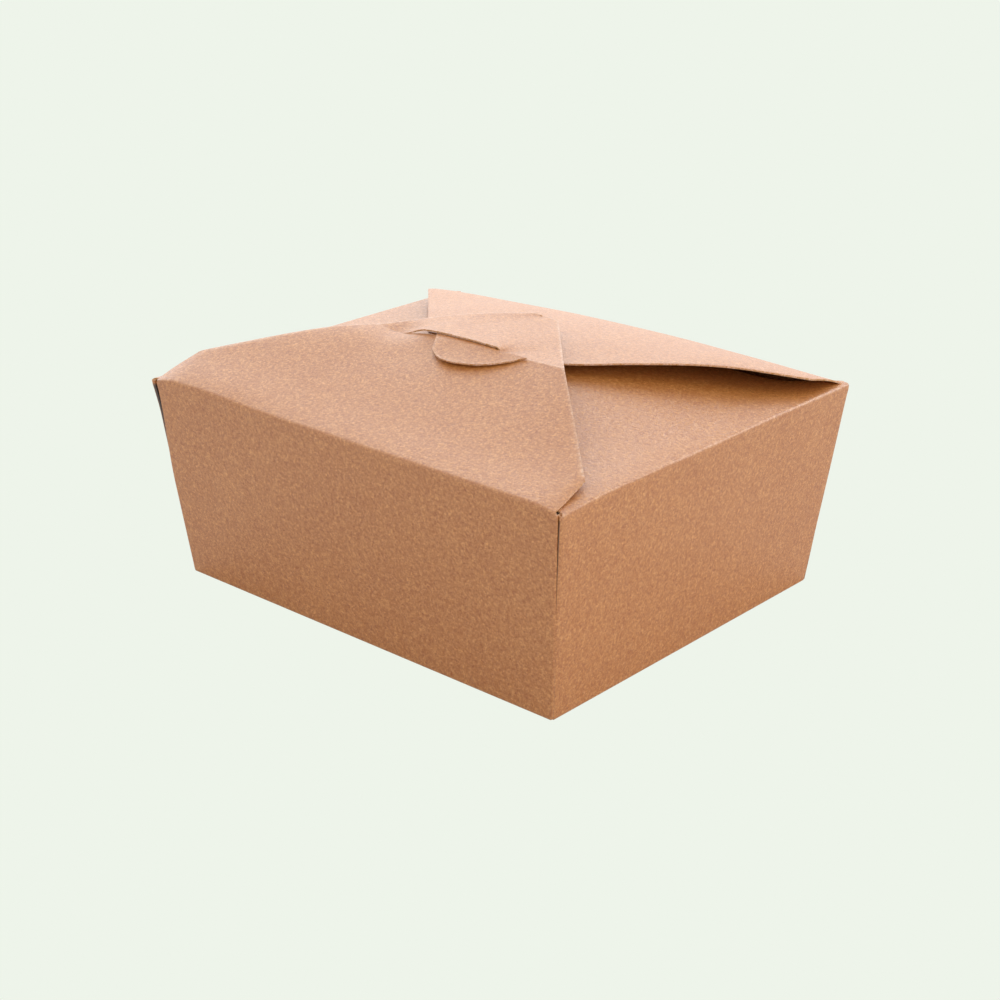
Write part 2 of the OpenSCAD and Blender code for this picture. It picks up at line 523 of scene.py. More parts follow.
class Outline:
    """A chain of straight runs whose corners are rounded.

    A run is long when it is more than long_from times the distances at which it is to have points near its
    ends.
    """

    long_from = 5

    def __init__(self, corners: list[tuple[float, float]], radii: list[float]) -> None:
        """Keeps the chain.

        Args:
            corners: The runs' ends.
            radii: The radius at each inner corner.
        """
        self.corners = [np.array(corner, float) for corner in corners]
        self.radii = radii

    def arc(self, index: int, steps: int) -> list[np.ndarray]:
        """Points round one inner corner.

        Args:
            index: The corner's number.
            steps: Steps in it.

        Returns:
            The points.
        """
        before, corner, after = self.corners[index - 1 : index + 2]
        into = (corner - before) / np.linalg.norm(corner - before)
        out = (after - corner) / np.linalg.norm(after - corner)
        turn = math.acos(max(-1.0, min(1.0, float(into @ out))))
        side = math.copysign(1.0, into[0] * out[1] - into[1] * out[0])
        radius = self.radii[index - 1]
        start = corner - into * radius * math.tan(turn / 2)
        centre = start + side * radius * np.array([-into[1], into[0]])
        arm = start - centre
        points = []
        for angle in np.linspace(0, side * turn, steps + 1):
            c, s = math.cos(angle), math.sin(angle)
            points.append(centre + np.array([c * arm[0] - s * arm[1], s * arm[0] + c * arm[1]]))
        return points

    def sample(self, spacing: float, steps: int = 6, near: tuple = ()) -> tuple[np.ndarray, np.ndarray]:
        """Points along the rounded chain.

        Args:
            spacing: Longest step on the straight runs.
            steps: Steps in each rounded corner.
            near: Distances from a run's ends at which a long run has points too.

        Returns:
            The points, and for each one the number of its run, or a half more on the corner after it.
        """
        stretches = [[self.corners[0]]]
        stretches += [self.arc(index, steps) for index in range(1, len(self.corners) - 1)]
        stretches.append([self.corners[-1]])
        points, marks = [], []
        for index, stretch in enumerate(stretches):
            points.extend(stretch)
            marks.extend([index if len(stretch) == 1 else index - 0.5] * len(stretch))
            if index + 1 == len(stretches):
                break
            start, end = stretch[-1], stretches[index + 1][0]
            length = float(np.linalg.norm(end - start))
            places = set(np.linspace(0, length, int(length / spacing) + 2)[1:-1])
            if length > self.long_from * max(near, default=length):
                places = {p for p in places if max(near) < p < length - max(near)}
                places |= set(near) | {length - distance for distance in near}
            for place in sorted(places):
                points.append(start + (end - start) * place / length)
                marks.append(index)
        return np.array(points), np.array(marks, float)


@dataclass
class Grid:
    """Rows of points on the middle of the board, with numbers that the form trees read, and painted shade for
    the corners' gaps.
    """

    points: np.ndarray
    reach: np.ndarray
    across: np.ndarray | None = None
    depth: np.ndarray | None = None
    beyond: bool = False
    butted: tuple = ()


def board_mesh(
    name: str, grids: list[Grid], wear_and_highlight_runs: list[tuple[np.ndarray, np.ndarray, float]]
) -> bpy.types.Object:
    """Joins grids into one thin mesh.

    Args:
        name: The object's name.
        grids: The rows of points. Where two grids share points they are joined later.
        wear_and_highlight_runs: Ends of each line near which the colour is lightened, and how much.

    Returns:
        The object, in millimetres.
    """
    numbers = {label: [] for label in ("reach", "beyond", "across", "butted", "crevice")}
    points, faces = [], []
    for grid in grids:
        rows, columns = grid.points.shape[:2]
        first = len(points)
        points.extend(grid.points.reshape(-1, 3))
        flat = np.zeros((rows, columns))
        butted = flat.copy()
        butted[list(grid.butted)] = 1.0
        numbers["reach"].extend(grid.reach.reshape(-1))
        numbers["beyond"].extend((flat + grid.beyond).reshape(-1))
        numbers["across"].extend((flat if grid.across is None else grid.across).reshape(-1))
        numbers["butted"].extend(butted.reshape(-1))
        # Painted shade for the corners' gaps, by which the material darkens the colour.
        numbers["crevice"].extend((flat if grid.depth is None else grid.depth).reshape(-1))
        for i in range(rows - 1):
            for j in range(columns - 1):
                a = first + i * columns + j
                faces.append((a, a + 1, a + columns + 1, a + columns))
    places = np.array(points)
    worn = np.zeros(len(places))
    # These lines lighten the colour: worn fibres on folds, and a painted highlight along cut edges.
    for start, end, amount in wear_and_highlight_runs:
        run = end - start
        share = np.clip((places - start) @ run / (run @ run), 0, 1)
        away = np.linalg.norm(places - start - share[:, None] * run, axis=1)
        worn = np.maximum(worn, amount * np.clip(1 - away / WEAR_AND_HIGHLIGHT_REACH, 0, 1))
    numbers["fold"] = worn
    mesh = bpy.data.meshes.new(name)
    mesh.from_pydata([tuple(point) for point in points], [], faces)
    for label, values in numbers.items():
        attribute = mesh.attributes.new(label, "FLOAT", "POINT")
        attribute.data.foreach_set("value", np.array(values, np.float32))
    thing = bpy.data.objects.new(name, mesh)
    bpy.context.scene.collection.objects.link(thing)
    return thing


# Geometry trees


class FormTree:
    """A Geometry Nodes tree that raises board to its form, with named inputs for its sizes.

    On a wall, a rise of the rim starts at the height rise_from and is whole rise_run higher. On the flap it
    fades over rise_fade. The board's unevenness grows to its full size over still_run from a fold.
    """

    rise_from = 35.0
    rise_run = 30.0
    rise_fade = 12.0
    still_run = 8.0
    mirror_run = 11.0
    seam = 0.004

    def __init__(self, name: str, rule: "LidRule | SideRule", material: bpy.types.Material) -> None:
        """Starts the tree.

        Args:
            name: The tree's name.
            rule: A dataclass of sizes, each of which becomes a named input.
            material: What the tree's result is made of.
        """
        self.tree = bpy.data.node_groups.new(name, "GeometryNodeTree")
        self.graph = Graph(self.tree)
        self.rule = rule
        self.material = material
        face = self.tree.interface
        face.new_socket("Board", in_out="INPUT", socket_type="NodeSocketGeometry")
        face.new_socket("Board", in_out="OUTPUT", socket_type="NodeSocketGeometry")
        self.identifiers = {}
        for item in fields(rule):
            label = self.label(item.name)
            socket = face.new_socket(label, in_out="INPUT", socket_type="NodeSocketFloat")
            self.identifiers[item.name] = socket.identifier
        group = self.graph.node("NodeGroupInput")
        self.board = Term(self.graph, group.outputs["Board"])
        self.v = SimpleNamespace(
            **{item.name: Term(self.graph, group.outputs[self.label(item.name)]) for item in fields(rule)}
        )
        place = self.graph.term("GeometryNodeInputPosition")
        split = self.graph.node("ShaderNodeSeparateXYZ", sockets={0: place})
        self.x, self.y, self.z = (Term(self.graph, output) for output in split.outputs)
        self.reach = self.number("reach")
        self.beyond = self.number("beyond")
        self.across = self.number("across")

    @staticmethod
    def label(name: str) -> str:
        """The input's name as a person reads it."""
        return name.replace("_", " ").capitalize()

    def number(self, name: str) -> Term:
        """A number that the mesh carries at its points."""
        return self.graph.term("GeometryNodeInputNamedAttribute", {"data_type": "FLOAT"}, {"Name": name})

    def on_flap(self) -> Term:
        """One on the flap and 0 on the wall, with a sharp step at the fold between them."""
        return (self.reach * 50.0).clamped()

    def ripple(self) -> Term:
        """The board's slight unevenness.

        Returns:
            A small rise or fall, fixed by the rule's seed, which is nothing at a fold.
        """
        noise = self.graph.term(
            "ShaderNodeTexNoise",
            {"noise_dimensions": "4D"},
            {
                "Vector": self.graph.term("GeometryNodeInputPosition"),
                "W": self.v.seed,
                "Scale": 1.0 / self.v.ripple_len,
                "Detail": 1.0,
            },
        )
        return (noise - 0.5) * 2.0 * self.v.ripple * (self.reach / self.still_run).ramp()

    def raise_by(self, height: Term) -> None:
        """Lifts the board.

        Args:
            height: How far each point rises, in millimetres.
        """
        offset = self.graph.term("ShaderNodeCombineXYZ", sockets={"Z": height})
        sockets = {"Geometry": self.board, "Offset": offset}
        self.board = self.graph.term("GeometryNodeSetPosition", sockets=sockets)

    def spread(self, rise: Term) -> Term:
        """Spreads a rise of the rim down the wall and a little way onto the flap.

        Args:
            rise: How far the rim stands over its straight line.

        Returns:
            How far each point rises.
        """
        away = self.reach / self.rise_fade
        return rise * ((self.z - self.rise_from) / self.rise_run).ramp() * (-(away * away)).exp()

    def join_seams(self) -> None:
        """Joins points that lie on each other, such as at the ends of a slit."""
        self.board = self.graph.term(
            "GeometryNodeMergeByDistance", sockets={"Geometry": self.board, "Distance": self.seam}
        )

    def add_mirror(self, forward: Term, rim: float) -> None:
        """Adds the same piece on the other side of the box, with its faces turned back.

        Args:
            forward: How far that piece stands forward at its rim.
            rim: The rim's height.
        """
        other = self.graph.term(
            "GeometryNodeTransform", sockets={"Geometry": self.board, "Scale": (-1.0, 1.0, 1.0)}
        )
        share = ((self.z - rim + self.mirror_run) / self.mirror_run).ramp()
        shift = self.graph.term("ShaderNodeCombineXYZ", sockets={"Y": -(forward * share)})
        other = self.graph.term("GeometryNodeSetPosition", sockets={"Geometry": other, "Offset": shift})
        other = self.graph.term("GeometryNodeFlipFaces", sockets={"Mesh": other})
        join = self.graph.node("GeometryNodeJoinGeometry")
        for part in (other, self.board):
            self.tree.links.new(part.socket, join.inputs[0])
        self.board = Term(self.graph, join.outputs[0])

    def close(self) -> None:
        """Ends the tree."""
        whole = self.graph.term("GeometryNodeRealizeInstances", sockets={"Geometry": self.board})
        dressed = self.graph.term(
            "GeometryNodeSetMaterial", sockets={"Geometry": whole, "Material": self.material}
        )
        self.graph.node("NodeGroupOutput", sockets={"Board": dressed})

    def form(self, thing: bpy.types.Object) -> None:
        """Raises an object's board, and keeps the result as its plain mesh.

        Args:
            thing: The object.
        """
        modifier = thing.modifiers.new(self.tree.name, "NODES")
        modifier.node_group = self.tree
        for name, value in asdict(self.rule).items():
            modifier[self.identifiers[name]] = value
        keep_result(thing)


def keep_result(thing: bpy.types.Object) -> None:
    """Turns the result of an object's modifiers into its plain mesh.

    Args:
        thing: The object.
    """
    bpy.context.view_layer.update()
    graph = bpy.context.evaluated_depsgraph_get()
    made = bpy.data.meshes.new_from_object(thing.evaluated_get(graph), depsgraph=graph)
    thing.modifiers.clear()
    thing.data = made


def crease_height(v: SimpleNamespace, x: Term) -> Term:
    """Height of the crease across the front flap at x."""
    return v.crease_rise + v.crease_lift * x / v.crease_half


def lip_rise(v: SimpleNamespace, x: Term) -> Term:
    """How far the hook's neck lifts the board at x."""
    return v.lip_swell * bell(x, 0.0, v.swell_half) + v.lip_peak * bell(x, v.peak_at, v.peak_half)


def slit_fall(v: SimpleNamespace, x: Term) -> Term:
    """How far the board sinks at the slit's left end."""
    return v.slit_dip * bell(x, v.slit_left, v.dip_half)


def left_share(v: SimpleNamespace, across: Term) -> Term:
    """How much of the left edge's own rise a place has, by its share of the way across."""
    return ((-across - v.bulge_from) / (1.0 - v.bulge_from)).ramp()


def left_rise(v: SimpleNamespace, ahead: Term, across: Term) -> Term:
    """Rise of the front flap along its left edge.

    Args:
        v: The lid's sizes.
        ahead: Distance from the front rim, in plan.
        across: Share of the way from the middle to the edge, below 0 on the left.

    Returns:
        The rise, which stays the same beyond the crease.
    """
    held = ahead.math("MINIMUM", ahead, v.crease_in)
    after = (held - v.bulge_at).positive()
    width = v.bulge_before + (v.bulge_after - v.bulge_before) * after
    return v.left_bulge * bell(held, v.bulge_at, width) * left_share(v, across)


def panel_height(v: SimpleNamespace, x: Term, ahead: Term, across: Term) -> Term:
    """Height of the front flap between its fold and its crease.

    Args:
        v: The lid's sizes.
        x: Place along the rim.
        ahead: Distance from the front rim, in plan.
        across: Share of the way from the middle to the edge.

    Returns:
        The height over the rim.
    """
    share = ahead / v.crease_in
    bow = v.panel_bow - v.bow_fall * x / (v.top_l / 2.0)
    near = (1.0 - (v.crease_in - ahead) / v.fade_panel).clamped() ** 2.0
    plain = share * crease_height(v, x) + 4.0 * share * (1.0 - share) * bow
    return plain + (lip_rise(v, x) - slit_fall(v, x)) * near + left_rise(v, ahead, across)


def front_height(v: SimpleNamespace, x: Term, ahead: Term, across: Term, beyond: Term) -> Term:
    """Height of the front flap on both sides of its crease.

    Args:
        v: The lid's sizes.
        x: Place along the rim.
        ahead: Distance from the front rim, in plan.
        across: Share of the way from the middle to the edge.
        beyond: One on the tip, whose edge is the slit's upper lip.

    Returns:
        The height over the rim.
    """
    past = ahead - v.crease_in
    from_left = (x - v.slit_left + v.left_widening * past) / (v.open_left + v.left_softening * past)
    from_right = (v.slit_right - x + v.right_widening * past) / (v.open_right + v.right_softening * past)
    opened = from_left.ramp() * from_right.ramp()
    fade = (1.0 - past / v.fade_tip).clamped()
    line = crease_height(v, x * (1.0 - past / v.tip_out))
    swell = v.tip_swell * bell(past, v.tip_swell_at, v.tip_swell_half) * left_share(v, across)
    turned = (swell - v.tip_twist * across.ramp()) * (past / v.tip_turn_run).ramp()
    sunk = slit_fall(v, x) * (1.0 - past / v.fade_end).clamped()
    tip = line + v.tip_rise * past / v.tip_out + (lip_rise(v, x) + 2.0 * v.stack * opened) * fade
    tip = tip - sunk + left_rise(v, ahead, across) + turned
    panel = panel_height(v, x, ahead, across)
    return panel + (tip - panel) * beyond


def rear_height(v: SimpleNamespace, x: Term, back: Term, across: Term, beyond: Term) -> Term:
    """Height of the rear flap, its neck and its hook.

    Args:
        v: The lid's sizes.
        x: Place along the rim.
        back: Distance from the rear rim, in plan.
        across: Share of the way across the front flap that lies under the hook.
        beyond: One on the hook, which lies on the front flap.

    Returns:
        The height over the rim.
    """
    ridge_in = v.top_w - v.crease_in
    share = back / ridge_in
    drift = 1.0 - v.rear_twist * x / (v.top_l / 2.0)
    from_top = (x - v.arch_off) / v.arch_half
    arch = 1.0 - from_top * from_top
    roll = 1.0 - (-(back / v.roll_len)).exp()
    sheet = v.rear_rise * ((1.0 - v.roll_share) * share * drift + v.roll_share * roll * arch)
    left = ((-x - v.corner_from) / v.corner_run).ramp() * (back / v.corner_in_run).ramp()
    sheet = sheet + v.corner_rise * left
    right = bell(x, v.right_at, v.right_half) * ((back - v.right_in) / v.right_in_run).ramp()
    sheet = sheet + v.right_rise * right
    sunk = bell(x, v.sink_at, v.sink_half) * ((back - v.sink_in) / v.sink_in_run).ramp()
    sheet = sheet - v.right_sink * sunk
    lifted = v.hook_lift * ((back - ridge_in) / v.hook_deep).clamped() ** v.hook_curve
    side = (-x / v.hook_side_run).ramp() * ((back - ridge_in) / v.hook_side_in_run).ramp()
    lifted = lifted + v.hook_side * side
    hook = panel_height(v, x, v.top_w - back, across) + v.stack + lifted
    near = (1.0 - (ridge_in - back) / v.neck_blend).clamped() ** v.neck_curve
    neck = sheet + (hook - sheet) * near
    return neck + (hook - neck) * beyond


# Finishes


@dataclass(frozen=True)
class KraftFinish:
    """Uncoated kraft board: curly fibres, specks, clouds and a soft, faintly shiny face, with painted shade
    in the corners' gaps and lighter lines along folds and cut edges.
    """

    name: str
    base: tuple[float, float, float]
    roughness: float = 0.42
    shine: float = 1.0
    bending: float = 1.6
    contrast: float = 1.12
    relief: float = 0.5
    # How much folds and cut edges are lightened: worn fibres, and along cut edges a painted highlight.
    worn: float = 0.8
    worn_sharp: float = 3.0
    seed: float = 0.0
    cloud_share: float = 0.14
    mottle_share: float = 0.26
    light_share: float = 0.5
    thin_share: float = 0.44
    dark_share: float = 0.42
    tone_shift: float = -0.06
    fleck_share: float = 0.6
    spread: tuple[float, float, float] = (0.7, 1.25, 2.6)
    speck_tint: tuple[float, float, float] = (0.483, 0.399, 0.336)
    wear_and_highlight_tone: tuple[float, float, float, float] = (0.74, 0.5, 0.34, 1.0)
    # Painted shade: how much the colour darkens deep in a corner's gap.
    painted_shade_strength: float = 0.93

    def noise(self, graph: Graph, per_mm: float, detail: float, bend: float, shift: float) -> Term:
        """Noise of a given grain on the board.

        Args:
            graph: The material's tree.
            per_mm: Waves in a millimetre.
            detail: Finer grain added.
            bend: How much the grain curls.
            shift: Sets this noise apart from the others.

        Returns:
            The noise, about a half.
        """
        place = graph.term("ShaderNodeTexCoord", output="Object")
        offset = (shift, shift + self.seed, -shift)
        moved = graph.term("ShaderNodeMapping", sockets={"Vector": place, "Location": offset})
        return graph.term(
            "ShaderNodeTexNoise",
            None,
            {"Vector": moved, "Scale": per_mm / MM, "Detail": detail, "Roughness": 0.5, "Distortion": bend},
        )

    def curls(self, graph: Graph, per_mm: float, bend: float, width: float, shift: float) -> Term:
        """Short curled fibres.

        Args:
            graph: The material's tree.
            per_mm: Fibres across a millimetre.
            bend: How much they curl.
            width: Share of the spacing that a fibre covers.
            shift: Sets these fibres apart from the others.

        Returns:
            One on a fibre, 0 between fibres.
        """
        line = self.noise(graph, per_mm, 1.0, bend, shift).ridge()
        line = ((line - 1.0 + width) / width).clamped()
        ends = self.noise(graph, per_mm * 0.9, 0.0, 0.0, shift + 0.19)
        return line * line * ((ends - 0.4) * 5.0).clamped()

    def specks(self, graph: Graph, per_mm: float, radius: float, rare: float, shift: float) -> Term:
        """Round specks, here and there.

        Args:
            graph: The material's tree.
            per_mm: Possible specks along a millimetre.
            radius: A speck's size, as a share of the spacing.
            rare: Share of the places that stay empty.
            shift: Sets these specks apart from the others.

        Returns:
            One on a speck.
        """
        place = graph.term("ShaderNodeTexCoord", output="Object")
        offset = (shift, -shift, shift)
        moved = graph.term("ShaderNodeMapping", sockets={"Vector": place, "Location": offset})
        sockets = {"Vector": moved, "Scale": per_mm / MM}
        cells = graph.node("ShaderNodeTexVoronoi", {"feature": "F1"}, sockets)
        pick = graph.term("ShaderNodeSeparateColor", sockets={0: cells.outputs["Color"]})
        chosen = ((pick - rare) * 20.0).clamped()
        return (1.0 - Term(graph, cells.outputs["Distance"]) / radius).clamped() * chosen

    def scaled(self, graph: Graph, colour: object, factor: object) -> Term:
        """A colour made lighter or darker.

        Args:
            graph: The material's tree.
            colour: The colour, or its socket.
            factor: What each channel is multiplied by.

        Returns:
            The colour.
        """
        return graph.term("ShaderNodeVectorMath", {"operation": "SCALE"}, {0: colour, "Scale": factor})

    def mixed(self, graph: Graph, share: object, first: object, second: object) -> Term:
        """Two colours mixed.

        Args:
            graph: The material's tree.
            share: Share of the second.
            first: The first colour, or its socket.
            second: The second colour, or its socket.

        Returns:
            The colour.
        """
        return graph.term("ShaderNodeMix", {"data_type": "RGBA"}, {0: share, 6: first, 7: second}, 2)

    def material(self) -> bpy.types.Material:
        """Builds the material on Object coordinates.

        Returns:
            The material.
        """
        made = bpy.data.materials.new(self.name)
        made.use_nodes = True
        made.node_tree.nodes.clear()
        graph = Graph(made.node_tree)
        cloud = self.noise(graph, per_mm=0.05, detail=2.0, bend=0.3, shift=0.11) - 0.5
        mottle = self.noise(graph, per_mm=1.4, detail=3.0, bend=0.6, shift=0.23) - 0.5
        light = self.curls(graph, per_mm=0.95, bend=1.4, width=0.26, shift=0.37)
        dark = self.curls(graph, per_mm=1.15, bend=1.5, width=0.26, shift=0.71)
        thin = self.curls(graph, per_mm=1.5, bend=1.2, width=0.34, shift=0.53)
        fibres = light * self.light_share + thin * self.thin_share - dark * self.dark_share
        tone = cloud * self.cloud_share + mottle * self.mottle_share + fibres + self.tone_shift
        spread = tuple(share * channel * self.contrast for share, channel in zip(self.spread, self.base))
        sockets = {0: tone, 1: spread, 2: self.base}
        fibre = graph.term("ShaderNodeVectorMath", {"operation": "MULTIPLY_ADD"}, sockets)
        warm = tuple(share * channel for share, channel in zip(self.speck_tint, self.base))
        speck = self.specks(graph, per_mm=0.5, radius=0.2, rare=0.86, shift=0.83) * self.fleck_share
        pale = tuple(min(1.0, 1.25 * channel + 0.08) for channel in self.base)
        fleck = self.specks(graph, per_mm=0.42, radius=0.17, rare=0.9, shift=0.29) * self.fleck_share
        skin = self.mixed(graph, speck, self.mixed(graph, fleck, fibre, (*pale, 1.0)), (*warm, 1.0))
        # Lighter line along folds and cut edges: worn fibres, and along cut edges a painted highlight.
        fold = graph.term("ShaderNodeAttribute", {"attribute_name": "fold"}, output="Fac")
        near = fold**self.worn_sharp
        wear_and_highlight_share = (near * (0.4 + 1.2 * (light + mottle)) * self.worn).clamped()
        skin = self.mixed(graph, wear_and_highlight_share, skin, self.wear_and_highlight_tone)
        # Painted shade: the colour darkens deep in the corners' gaps, where shade falls.
        crevice = graph.term("ShaderNodeAttribute", {"attribute_name": "crevice"}, output="Fac")
        skin = self.scaled(graph, skin, 1.0 - crevice * self.painted_shade_strength)
        height = light + thin - dark + mottle * 1.5
        sockets = {"Strength": self.relief, "Distance": 0.05 * MM, "Height": height}
        bump = graph.term("ShaderNodeBump", None, sockets, "Normal")
        rough = self.roughness + mottle * 0.2 - light * 0.06
        looks = {"Base Color": skin, "Roughness": rough, "Normal": bump}
        looks.update({"Specular IOR Level": self.shine, "IOR": self.bending})
        shader = graph.node("ShaderNodeBsdfPrincipled", None, looks)
        graph.node("ShaderNodeOutputMaterial", None, {"Surface": shader.outputs[0]})
        return made


@dataclass
class BoardWork:
    """Gives thin board its thickness, its cut edges and its place in the frame."""

    board: float
    face: bpy.types.Material
    edge: bpy.types.Material
    edge_round: float = 0.09
    edge_steps: int = 2
    sharp_angle: float = math.radians(38)

    def thicken(self, thing: bpy.types.Object) -> None:
        """Gives the board its thickness and rounds its cut edges.

        Args:
            thing: The object, whose mesh is the board's middle.
        """
        thing.data.materials.clear()
        thing.data.materials.append(self.face)
        thing.data.materials.append(self.edge)
        solid = thing.modifiers.new("thickness", "SOLIDIFY")
        solid.thickness = self.board
        solid.offset = 0.0
        solid.use_even_offset = False
        solid.use_quality_normals = False
        solid.material_offset_rim = 1
        keep_result(thing)
        self.weigh_edges(thing.data)
        bevel = thing.modifiers.new("cut edge", "BEVEL")
        bevel.width = self.edge_round
        bevel.segments = self.edge_steps
        bevel.limit_method = "WEIGHT"
        keep_result(thing)

    @staticmethod
    def weigh_edges(mesh: bpy.types.Mesh) -> None:
        """Marks the edges to be rounded: those of a cut, but not where two runs meet.

        Args:
            mesh: The board with its thickness.
        """
        edge_of = np.empty(len(mesh.loops), np.int32)
        mesh.loops.foreach_get("edge_index", edge_of)
        sides = np.empty(len(mesh.polygons), np.int32)
        mesh.polygons.foreach_get("loop_total", sides)
        kinds = np.empty(len(mesh.polygons), np.int32)
        mesh.polygons.foreach_get("material_index", kinds)
        kind_of = np.repeat(kinds, sides)
        touches = np.zeros((2, len(mesh.edges)), bool)
        for kind in (0, 1):
            touches[kind][edge_of[kind_of == kind]] = True
        ends = np.empty(len(mesh.edges) * 2, np.int32)
        mesh.edges.foreach_get("vertices", ends)
        butted = np.empty(len(mesh.vertices), np.float32)
        mesh.attributes["butted"].data.foreach_get("value", butted)
        met = butted[ends.reshape(-1, 2)].min(axis=1) > 0.5
        weights = (touches[0] & touches[1] & ~met).astype(np.float32)
        attribute = mesh.attributes.new("bevel_weight_edge", "FLOAT", "EDGE")
        attribute.data.foreach_set("value", weights)

    def finish(self, thing: bpy.types.Object) -> bpy.types.Object:
        """Makes the finished piece of a form.

        Args:
            thing: The object, whose mesh is the board's middle, in millimetres.

        Returns:
            The same object, in metres.
        """
        self.thicken(thing)
        mesh = thing.data
        for label in ("reach", "beyond", "across", "butted", "bevel_weight_edge"):
            if label in mesh.attributes:
                mesh.attributes.remove(mesh.attributes[label])
        mesh.transform(Matrix.Scale(MM, 4))
        mesh.polygons.foreach_set("use_smooth", [True] * len(mesh.polygons))
        mesh.set_sharp_from_angle(angle=self.sharp_angle)
        mesh.update()
        return thing


# Sub-assemblies


class Side(Enum):
    """The walls that are built, by how far each is turned from the front. The left one is a mirror image."""

    FRONT = 0
    RIGHT = 90
    REAR = 180


@dataclass
class Row:
    """One row of a run: where it lies end on, its ends along the wall, and its distance on the flap."""

    out: float
    z: float
    left: float
    right: float
    reach: float
    run: float


@dataclass
class WallRun:
    """One wall of the tray, from the base over the rim and onto its flap."""

    sizes: TraySizes
    side: Side
    ends: Callable[[float], tuple[float, float]]
    base_half: float
    other_half: float
    flap: list[Row]

    def place(self, along: np.ndarray, out: np.ndarray, z: np.ndarray) -> np.ndarray:
        """Turns places on this side into the box's own frame.

        Args:
            along: Distance along the wall.
            out: Distance outwards from the base's fold.
            z: Height.

        Returns:
            The points.
        """
        x, y = along + 0 * out, -(self.base_half + out)
        turn = math.radians(self.side.value)
        c, s = math.cos(turn), math.sin(turn)
        return np.stack([c * x - s * y, s * x + c * y, z + 0 * x], axis=-1)

    def share(self, z: float) -> float:
        """Share of the wall's height."""
        s = self.sizes
        return min(1.0, max(0.0, (z - s.floor) / (s.axis_z - s.floor)))

    def rows(self, spacing: float) -> list[Row]:
        """The run's rows, from the base to the flap's far edge.

        Args:
            spacing: Longest step up the wall.

        Returns:
            The rows.
        """
        s = self.sizes
        first = self.flap[0].reach
        ends = [(-s.lap, s.floor), (0.0, s.floor), (s.flare, s.axis_z), (s.flare - first, s.axis_z)]
        near = (0.5, 1.1, 1.7, 2.5)
        points, runs = Outline(ends, [s.foot_radius, s.rim_radius]).sample(spacing, near=near)
        rows = []
        for (out, z), run in list(zip(points, runs))[:-1]:
            left, right = self.ends(self.share(z))
            if run < 1:
                inner = min(1.0, max(0.0, -out / s.lap))
                left += (-(self.other_half - s.lap) - left) * inner
                right += (self.other_half - s.lap - right) * inner
            if run == 1:
                below = (s.axis_z - z - s.bead_below) / s.bead_half
                out += s.bead_out * math.exp(-below * below)
            if run == 1.5:
                over = min(1.0, max(0.0, (s.flare - out) / s.rim_radius)) ** 3
                left += (self.flap[0].left - left) * over
                right += (self.flap[0].right - right) * over
            reach = max(0.0, s.flare - out) if run > 1 else 0.0
            rows.append(Row(out, z, left, right, reach, run))
        return rows + self.flap

    def grid(self, rows: list[Row], shares: np.ndarray, **numbers: object) -> Grid:
        """Rows as a grid.

        Args:
            rows: The rows.
            shares: Places along a row, from -1 at its left end to 1 at its right end.
            numbers: What else the grid carries.

        Returns:
            The grid.
        """
        points = []
        for row in rows:
            along = row.left + (row.right - row.left) * (shares + 1) / 2
            points.append(self.place(along, np.full(len(along), row.out), np.full(len(along), row.z)))
        reach = np.repeat(np.array([row.reach for row in rows])[:, None], len(shares), axis=1)
        return Grid(np.array(points), reach, **numbers)

    def foot_mark(self) -> tuple[np.ndarray, np.ndarray, float]:
        """Ends of the fold at the wall's foot, and how much its colour is lightened."""
        return *self.mark(*self.ends(0.0), 0.0, self.sizes.floor), 0.6

    def rim_mark(self, amount: float) -> tuple[np.ndarray, np.ndarray, float]:
        """Ends of the fold at the wall's rim, and how much its colour is lightened."""
        return *self.mark(*self.ends(1.0), self.sizes.flare, self.sizes.axis_z), amount

    def mark(self, left: float, right: float, out: float, z: float) -> tuple[np.ndarray, np.ndarray]:
        """Ends of a line along the wall."""
        ends = self.place(np.array([left, right]), np.full(2, out), np.full(2, z))
        return ends[0], ends[1]


def painted_shade_by_row(sizes: TraySizes, rows: list[Row]) -> np.ndarray:
    """How much painted shade a corner's gap has at each row: none just under the rim, and full further down.
    """
    return np.clip([(sizes.axis_z - sizes.dark_below - row.z) / sizes.dark_run for row in rows], 0, 1)


